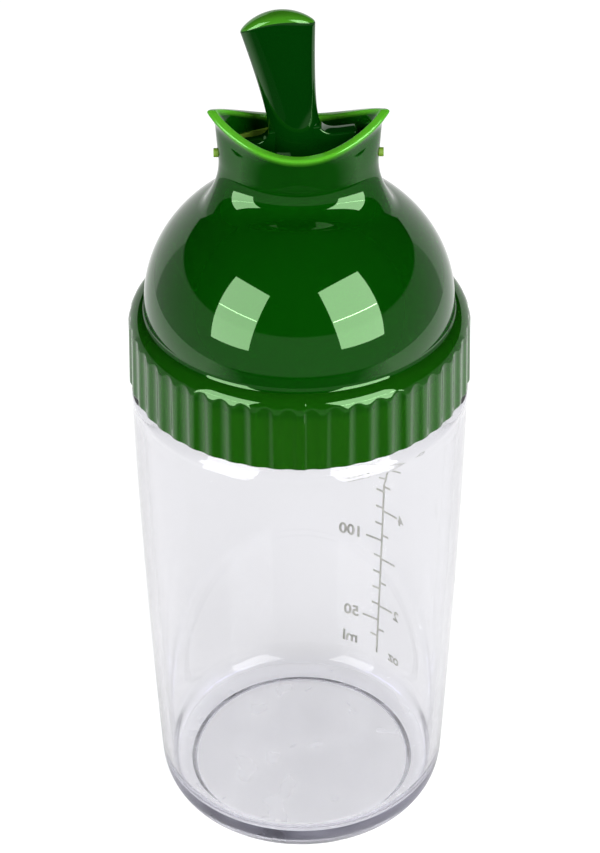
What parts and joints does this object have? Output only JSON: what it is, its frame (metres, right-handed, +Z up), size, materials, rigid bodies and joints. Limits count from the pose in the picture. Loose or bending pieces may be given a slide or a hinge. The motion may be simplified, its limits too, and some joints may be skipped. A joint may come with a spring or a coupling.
{
  "type": "salad dressing shaker",
  "caption": "Clear bottle with a fluted screw lid, a domed top, an oval pouring neck and a rocking lever stopper.",
  "frame": {"origin": "middle of the bottle's foot, on the surface that it stands on", "axes": "+Z up along the bottle, the pouring lips point along +X and -X, -Y is the front"},
  "size_m": [0.0624, 0.0624, 0.1691],
  "materials": {
    "clear_plastic": "clear, polished",
    "green_plastic": "gloss",
    "dark_green_plastic": "gloss",
    "gasket_rubber": "matte",
    "seal_rubber": "satin",
    "print_ink": "matte, screen printed"
  },
  "bodies": {
    "bottle_body": {"bottle": "clear_plastic"},
    "gasket_body": {"lid_gasket": "gasket_rubber"},
    "lid_body": {"lid": "green_plastic", "seat_seal": "seal_rubber"},
    "lever_body": {"lever": "dark_green_plastic"}
  },
  "joints": [
    {"name": "lid_lift", "type": "slide", "parent": "bottle_body", "child": "gasket_body", "axis": [0, 0, 1], "range_m": [0, 0.0081]},
    {"name": "lid_turn", "type": "hinge", "parent": "gasket_body", "child": "lid_body", "pos_m": [0, 0, 0.1], "axis": [0, 0, 1], "range_deg": [0, 315]},
    {"name": "lever_rock", "type": "hinge", "parent": "lid_body", "child": "lever_body", "pos_m": [0, 0, 0.1423], "axis": [0, 1, 0], "range_deg": [-28, 44]}
  ],
  "couplings": [
    {"joint": "lid_lift", "follows": "lid_turn", "m_per_rad": 0.0014324}
  ]
}
